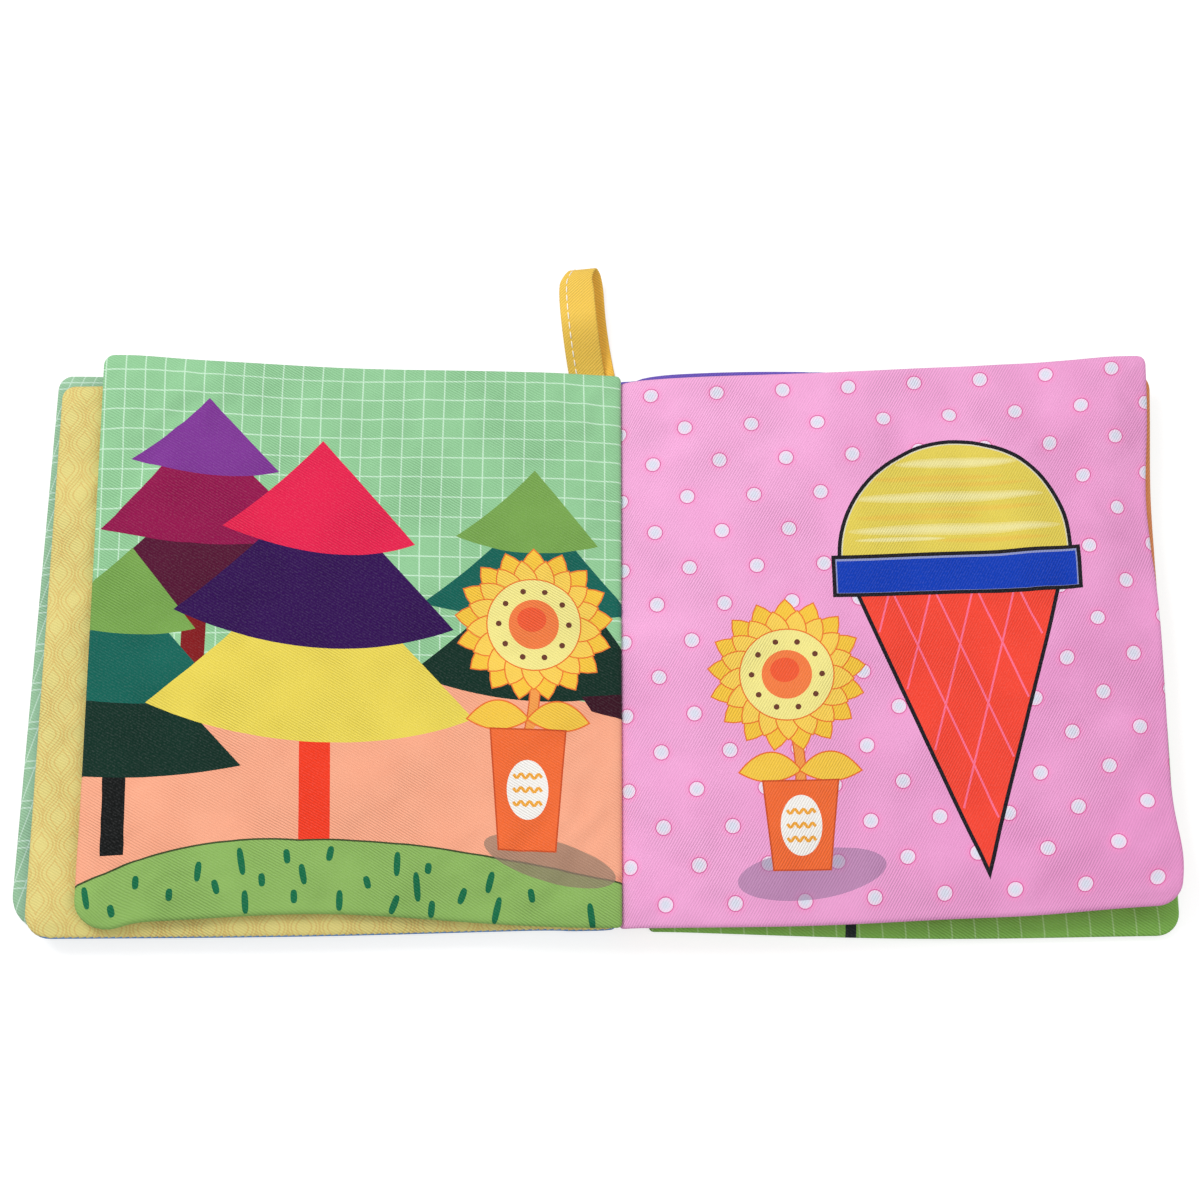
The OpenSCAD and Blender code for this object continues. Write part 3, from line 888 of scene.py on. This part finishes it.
def mint_check(tree, cloth, u, v):
    """Deeper mint ground with paired white lines every 12 mm and slanting single ones."""
    shifted = add(tree, "ShaderNodeMath", {0: v, 1: 2.1 * MM}, operation="ADD")
    pair = add(tree, "ShaderNodeMath", {0: thin_lines(tree, v, 12, 0.2),
                                        1: thin_lines(tree, shifted, 12, 0.2)},
               operation="MAXIMUM")
    slant = add(tree, "ShaderNodeMath", {0: v, 1: -0.3, 2: u}, operation="MULTIPLY_ADD")
    lines = add(tree, "ShaderNodeMath", {0: pair, 1: thin_lines(tree, slant, 3.6, 0.16)},
                operation="MAXIMUM")
    return painted(tree, to_linear("#97C19D"), lines, "#D9F0E2", 0.6)


def pink_dots(tree, cloth, u, v):
    """Pink ground with ringed pale dots in staggered rows that tilt a little."""
    tilted_u = add(tree, "ShaderNodeMath", {0: v, 1: 0.022, 2: u}, operation="MULTIPLY_ADD")
    tilted_v = add(tree, "ShaderNodeMath", {0: u, 1: -0.012, 2: v}, operation="MULTIPLY_ADD")
    nearest = None
    for shift_u, shift_v in ((13.7, 11.5), (23.9, 23.0)):
        parts = []
        for value, shift, pitch in ((tilted_u, shift_u, 20.45), (tilted_v, shift_v, 23.05)):
            away = add(tree, "ShaderNodeMath", {0: value, 1: (pitch / 2 - shift) * MM},
                       operation="ADD")
            away = add(tree, "ShaderNodeMath", {0: away, 1: pitch * MM, 2: 0.0},
                       operation="WRAP")
            away = add(tree, "ShaderNodeMath", {0: away, 1: pitch / 2 * MM},
                       operation="SUBTRACT")
            parts.append(add(tree, "ShaderNodeMath", {0: away, 1: away}, operation="MULTIPLY"))
        gap = add(tree, "ShaderNodeMath", {0: parts[0], 1: parts[1]}, operation="ADD")
        gap = add(tree, "ShaderNodeMath", {0: gap}, operation="SQRT")
        nearest = gap if nearest is None else add(tree, "ShaderNodeMath", {0: nearest, 1: gap},
                                                  operation="MINIMUM")
    # Painted shade: the pink darkens towards the fore edge and the foot, where less light falls;
    # soft clouds about 40 mm across vary it at random
    cloud = add(tree, "ShaderNodeTexNoise", {"Vector": cloth, "Scale": 25.0, "Detail": 1.0})
    shade_and_cloud = add(tree, "ShaderNodeMath", {0: cloud, 1: 0.9, 2: -0.35}, operation="MULTIPLY_ADD")
    shade_and_cloud = add(tree, "ShaderNodeMath", {0: u, 1: 4.2, 2: shade_and_cloud}, operation="MULTIPLY_ADD")
    shade_and_cloud = add(tree, "ShaderNodeMath", {0: v, 1: -2.2, 2: shade_and_cloud}, operation="MULTIPLY_ADD")
    shade_and_cloud = add(tree, "ShaderNodeClamp", {0: shade_and_cloud})
    base = painted(tree, to_linear("#F0A9D7"), shade_and_cloud, "#E494C8", 1.0)
    # From the outside in: a warm glow, a thin ring, a pale rim and a bluish middle
    for near, far, code, cover in ((2.4, 4.0, "#FF8CC6", 0.32), (2.40, 2.52, "#D8609E", 1.0),
                                   (2.08, 2.22, "#F0D6EC", 1.0), (0.9, 1.9, "#D8DDEC", 0.9)):
        inner = add(tree, "ShaderNodeMapRange", {
            "Value": nearest, "From Min": near * MM, "From Max": far * MM, "To Min": 1.0,
            "To Max": 0.0})
        base = painted(tree, base, inner, code, cover)
    return base


def yellow_ogee(tree, cloth, u, v):
    """Soft yellow ground with ochre outlines of nested leaf shapes in staggered columns."""
    pitch_u, pitch_v = 9.2 * MM, 16.9 * MM
    across = add(tree, "ShaderNodeMath", {0: u, 1: pitch_u / 2}, operation="PINGPONG")
    along = add(tree, "ShaderNodeMath", {0: v, 1: pitch_v / 2}, operation="PINGPONG")
    other_across = add(tree, "ShaderNodeMath", {0: pitch_u / 2, 1: across}, operation="SUBTRACT")
    other_along = add(tree, "ShaderNodeMath", {0: pitch_v / 2, 1: along}, operation="SUBTRACT")
    lines = 0.0
    for x, y in ((across, along), (other_across, other_along)):
        for share in (1.0, 0.8, 0.5):
            # A leaf shape's half width falls off as a cosine; smaller ones are scaled down
            turn = add(tree, "ShaderNodeMath", {0: y, 1: 2 * math.pi / pitch_v / share},
                       operation="MULTIPLY")
            within = add(tree, "ShaderNodeMath", {0: turn, 1: math.pi}, operation="LESS_THAN")
            half = add(tree, "ShaderNodeMath", {0: turn}, operation="COSINE")
            half = add(tree, "ShaderNodeMath", {0: half, 1: share * pitch_u / 4,
                                                2: share * pitch_u / 4},
                       operation="MULTIPLY_ADD")
            gap = add(tree, "ShaderNodeMath", {0: half, 1: x}, operation="SUBTRACT")
            gap = add(tree, "ShaderNodeMath", {0: gap}, operation="ABSOLUTE")
            line = add(tree, "ShaderNodeMapRange", {
                "Value": gap, "From Min": 0.12 * MM, "From Max": 0.34 * MM, "To Min": 1.0,
                "To Max": 0.0})
            line = add(tree, "ShaderNodeMath", {0: line, 1: within}, operation="MULTIPLY")
            lines = add(tree, "ShaderNodeMath", {0: lines, 1: line}, operation="MAXIMUM")
    return painted(tree, to_linear("#DDCF80"), lines, "#CF9A4C", 0.42)


def green_rows(tree, cloth, u, v):
    """Grass green ground with thin pale lines 6.85 mm apart that slant a little."""
    slant = add(tree, "ShaderNodeMath", {0: v, 1: 0.1, 2: u}, operation="MULTIPLY_ADD")
    lines = thin_lines(tree, slant, 6.85, 0.2)
    return painted(tree, to_linear("#7FB452"), lines, "#BFDDA6", 0.5)


def plain_ground(code, other):
    """A ground of one colour that wanders a little to another."""
    def paint(tree, cloth, u, v):
        cloud = add(tree, "ShaderNodeTexNoise", {"Vector": cloth, "Scale": 30.0, "Detail": 2.0})
        return painted(tree, to_linear(code), cloud, other, 1.0)
    return paint


# The ribs run down to the right on the left pages. On the right the cloth was cut a quarter
# turn round.
MINT = twill("polyester_twill_mint_grid_print", mint_grid, -30)
COVER_MINT = twill("polyester_twill_mint_check_print", mint_check, -30)
PINK = twill("polyester_twill_pink_dot_print", pink_dots, 60)
YELLOW = twill("polyester_twill_yellow_ogee_print", yellow_ogee, -30)
ORANGE = twill("polyester_twill_orange_print", plain_ground("#E79A62", "#E08A58"), 60)
GREEN = twill("polyester_twill_green_line_print", green_rows, -30)
BLUE = twill("polyester_twill_blue_spine", plain_ground("#4C6FB0", "#4566A6"), -30)
RIBBON = twill("cotton_twill_tape_yellow", plain_ground("#F2C957", "#EFC350"), -40, 0.75)


def thread_material():
    """Spun polyester sewing thread: white, slightly glossy, twisted."""
    material, tree = blank_material("polyester_thread_white")
    place = add(tree, "ShaderNodeTexCoord")
    twist = add(tree, "ShaderNodeTexNoise", {"Vector": place.outputs["Object"],
                                             "Scale": 2500.0})
    colour = painted(tree, to_linear("#E9E2CF"), twist, "#FFFDF4", 1.0)
    shader = add(tree, "ShaderNodeBsdfPrincipled", {"Base Color": colour, "Roughness": 0.55})
    add(tree, "ShaderNodeOutputMaterial", {"Surface": shader})
    return material


THREAD = thread_material()

# The six leaves

post = [(block(58.2, -90, 61.4, -50), "#1B2424", 1)]
violet = [(block(-5, 84.6, 140, 95), "#6A55B8", 1), (block(-5, 80, 60, 95), "#6A55B8", 1)]
left_page = cloth_leaf("left_picture_page", left_print(), ("left", 0, False), MINT)
left_under = cloth_leaf("left_under_page", [], ("right", 0, True), YELLOW, "#5E8CC4")
front_cover = cloth_leaf("front_cover_leaf", [], ("left", 0, True), COVER_MINT)
right_page = cloth_leaf("right_picture_page", right_print(), ("right", 0, False), PINK)
right_under = cloth_leaf("right_under_page", violet, ("left", 0, True), ORANGE)
back_cover = cloth_leaf("back_cover_leaf", post, ("right", 0, True), GREEN)

for piece, nodes, slot in (
        (left_page, ["left_pages"], "left_page_cloth"),
        (left_under, ["left_pages"], "left_page_cloth"),
        (front_cover, ["front_cover"], "front_cover_cloth"),
        (right_page, ["right_pages"], "right_page_cloth"),
        (right_under, ["right_pages"], "right_page_cloth"),
        (back_cover, ["back_cover"], "back_cover_cloth")):
    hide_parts(*nodes)

# Spans from the gutter where the cloth would fold when a side closes; the spine's cloth would fold
# with the covers
PAGE_FOLD = (0.0, 20 * MM)
COVER_FOLD = (2 * MM, 22 * MM)


def fold(piece, side, span):
    """Bakes a piece's transform into its mesh."""
    start, end = (side * at for at in span)
    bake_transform(piece)


for piece, side, span in ((left_page, -1, PAGE_FOLD), (left_under, -1, PAGE_FOLD),
                          (front_cover, -1, COVER_FOLD), (right_page, 1, PAGE_FOLD),
                          (right_under, 1, PAGE_FOLD), (back_cover, 1, COVER_FOLD)):
    fold(piece, side, span)

# The cloth spine. Its foot stays inside the pages, and a sewn channel runs near each long edge.
FOOT_INSIDE = 3
CHANNEL_AT = 8.6


def strip_mesh(name, rows, columns, place, material, u_of, v_of, row_colour=None):
    """A tube from rows of points, each row a ring, with closed ends. Its last argument colours
    a row; on the ribbon that colour is painted light.
    """
    points = [place(j, i) for j in range(rows) for i in range(columns)]
    faces = []
    for j in range(rows - 1):
        for i in range(columns):
            a, b = j * columns + i, j * columns + (i + 1) % columns
            faces.append((a, b, b + columns, a + columns))
    faces.append(tuple(range(columns))[::-1])
    faces.append(tuple((rows - 1) * columns + k for k in range(columns)))
    mesh = bpy.data.meshes.new(name)
    mesh.from_pydata(points, [], faces)
    uv = mesh.uv_layers.new(name="cloth")
    for loop in mesh.loops:
        j, i = divmod(loop.vertex_index, columns)
        uv.data[loop.index].uv = (u_of(j, i), v_of(j, i))
    ink = mesh.color_attributes.new("ink", "FLOAT_COLOR", "CORNER")
    plain = (0.0, 0.0, 0.0, 0.0)
    colours = [row_colour(loop.vertex_index // columns) if row_colour else plain for loop in mesh.loops]
    ink.data.foreach_set("color", np.array(colours).ravel())
    return smooth_piece(name, mesh, material)


def spine_half(name, first, last):
    """The strip on one side of the gutter: a flat ring with a rolled long edge and a sewn
    channel. first and last are shares of the strip's half width."""
    half_w, half_t = SPINE_W / 2, SPINE_T / 2
    upper = np.linspace(first, last, 31)
    lower = upper[::-1][:-1] if first == -1 else upper[::-1][1:]
    across = np.concatenate([upper, lower])
    tall = PAGE_H - FOOT_INSIDE
    rows = np.concatenate([[0, 0.15, 0.5, 1.0], np.linspace(2, tall - 2, 60),
                           tall - np.array([1.0, 0.5, 0.15, 0])])

    def place(j, i):
        y = rows[j] + PAGE_H / 2 - tall
        end = min(rows[j], tall - rows[j])
        narrow = 2 * (1 - float(round_rise(end, 2)))
        x = across[i] * (half_w - narrow)
        edge = half_w - narrow - abs(x)
        thick = half_t * float(round_rise(edge, 0.9)) * (0.35 + 0.65 * float(round_rise(end, 1)))
        seam = 0.16 * math.exp(-((abs(x) - CHANNEL_AT) / 0.7) ** 2)
        way = 1 if i < len(upper) else -1
        z = half_t + way * max(thick - seam, 0.02 if edge > 0 else 0)
        return ((x - SPINE_OFFSET) * MM, y * MM, z * MM)

    return strip_mesh(name, len(rows), len(across), place, BLUE,
                      lambda j, i: across[i] * half_w * MM, lambda j, i: rows[j] * MM)


# The two halves meet a little to the left of the gutter, where the cloth stays flat
LEFT_PART = 15.5
MEETING = LEFT_PART / (SPINE_W / 2) - 1
spine_left = spine_half("spine_cloth_left", -1, MEETING)
spine_right = spine_half("spine_cloth_right", MEETING, 1)
for piece, side, width in ((spine_left, -1, LEFT_PART), (spine_right, 1, SPINE_W - LEFT_PART)):
    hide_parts("spine")
    fold(piece, side, COVER_FOLD)

# The ribbon loop and its stitches

LOOP_LEN = 36.3
LOOP_H = 10.0
RIBBON_W = 11.2
RIBBON_T = 0.9
LOOP_OFFSET = 8.1
LOOP_LEAN = math.radians(6.2)
LOOP_BASE = PAGE_H / 2 + SEWN_GAP + 6 * math.sin(LOOP_LEAN)
STITCH_INSET = 2.4
STITCH_LEN = 2.5
STITCH_GAP = 0.5
THREAD_R = 0.2


def loop_line():
    """The ribbon's middle line seen from the side: out underneath, over the fold and back."""
    q = np.sin(np.linspace(0, math.pi / 2, 26))
    s = np.clip(q / 0.6, 0, 1)
    half = (2.4 + (LOOP_H - 2.4) * s * s * (3 - 2 * s)) / 2 * np.sqrt(1 - q ** 6)
    m = np.clip(q / 0.55, 0, 1)
    middle = 1.2 + (LOOP_H / 2 - 0.6) * m * m * (3 - 2 * m)
    out = 0.3 + (LOOP_LEN - 0.9) * q
    half = np.maximum(half - RIBBON_T / 2 - 0.1, 0)
    lower = np.stack([out, middle - half], 1)
    upper = np.stack([out, middle + half], 1)[::-1][1:]
    return finer(np.concatenate([lower, upper]), 0.9, closed=False)


LOOP = loop_line()
LOOP_RUN = np.concatenate([[0], np.cumsum(np.hypot(*np.diff(LOOP, axis=0).T))])


def loop_place(run, across, lift):
    """A point on the ribbon: run along it, across it and lift off its middle, in mm."""
    p, q, r = (np.array([np.interp(run + step, LOOP_RUN, LOOP[:, k]) for k in (0, 1)])
               for step in (0, 0.3, -0.3))
    way = (q - r) / max(np.hypot(*(q - r)), 1e-6)
    p = p + np.array([way[1], -way[0]]) * lift
    # The lower strand lies to the right of the upper one, and the fold draws the ribbon in
    past = run - LOOP_RUN[-1] / 2
    side = 3.1 * float(smooth((6 - past) / 10))
    across = across * (1 - 0.2 * math.exp(-(past / 5.5) ** 2))
    cup = 0.25 * (across / (RIBBON_W / 2)) ** 2 * math.tanh(past / 3)
    sweep = 0.9 * math.sin(math.pi * min(max(p[0] / LOOP_LEN, 0), 1))
    x, y, z = across + side - 0.9 - sweep, p[0], p[1] - cup
    c, s = math.cos(LOOP_LEAN), math.sin(LOOP_LEAN)
    return ((x * c - y * s - LOOP_OFFSET) * MM, (x * s + y * c + LOOP_BASE) * MM, z * MM)


def ribbon_loop():
    """The folded ribbon."""
    runs = np.linspace(0, LOOP_RUN[-1], 110)
    half = RIBBON_W / 2
    # The section is a flat ring with rolled selvedges
    ring = [(x, 1) for x in np.linspace(-half + 0.5, half - 0.5, 11)]
    ring += [(half - 0.15, 0.7), (half, 0), (half - 0.15, -0.7)]
    ring += [(-x, -k) for x, k in ring]
    ring = ring[::-1]

    def place(j, i):
        x, lift = ring[i]
        return loop_place(runs[j], x, lift * RIBBON_T / 2)

    # Painted light: the strand below the fold is painted a brighter orange for the light that
    # comes through it, though the upper strand shades it
    def glow(j):
        return to_linear("#FFC64C")[:3] + [0.9 * float(smooth((LOOP_RUN[-1] / 2 - runs[j]) / 4))]

    return strip_mesh("ribbon_loop", len(runs), len(ring), place, RIBBON,
                      lambda j, i: ring[i][0] * MM, lambda j, i: runs[j] * MM, glow)


def stitch_row():
    """A row of straight stitches near the ribbon's left edge, each a short fat thread."""
    points, faces = [], []
    run = 2.5
    while run < LOOP_RUN[-1] - 3:
        first = len(points)
        for k in range(7):
            t = k / 6
            sink = 0.30 - 0.34 * math.sin(math.pi * t) ** 0.5
            fat = THREAD_R * (0.35 + 0.65 * math.sin(math.pi * min(max(t, 0.06), 0.94)) ** 0.5)
            for turn in range(8):
                a = turn * math.pi / 4
                points.append(loop_place(run + STITCH_LEN * t,
                                         -RIBBON_W / 2 + STITCH_INSET + fat * math.cos(a),
                                         RIBBON_T / 2 - sink + 0.1 + fat * math.sin(a)))
        for k in range(6):
            for turn in range(8):
                a, b = first + k * 8 + turn, first + k * 8 + (turn + 1) % 8
                faces.append((a, b, b + 8, a + 8))
        faces.append(tuple(first + turn for turn in range(8))[::-1])
        faces.append(tuple(first + 48 + turn for turn in range(8)))
        run += STITCH_LEN + STITCH_GAP
    mesh = bpy.data.meshes.new("ribbon_stitches")
    mesh.from_pydata(points, [], faces)
    return smooth_piece("ribbon_stitches", mesh, THREAD)


ribbon = ribbon_loop()
stitches = stitch_row()
for piece in (ribbon, stitches, spine_left, spine_right):
    fixer = bmesh.new()
    fixer.from_mesh(piece.data)
    bmesh.ops.recalc_face_normals(fixer, faces=fixer.faces)
    fixer.to_mesh(piece.data)
    fixer.free()
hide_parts("hanging_loop")
fold(ribbon, -1, COVER_FOLD)
fold(stitches, -1, COVER_FOLD)
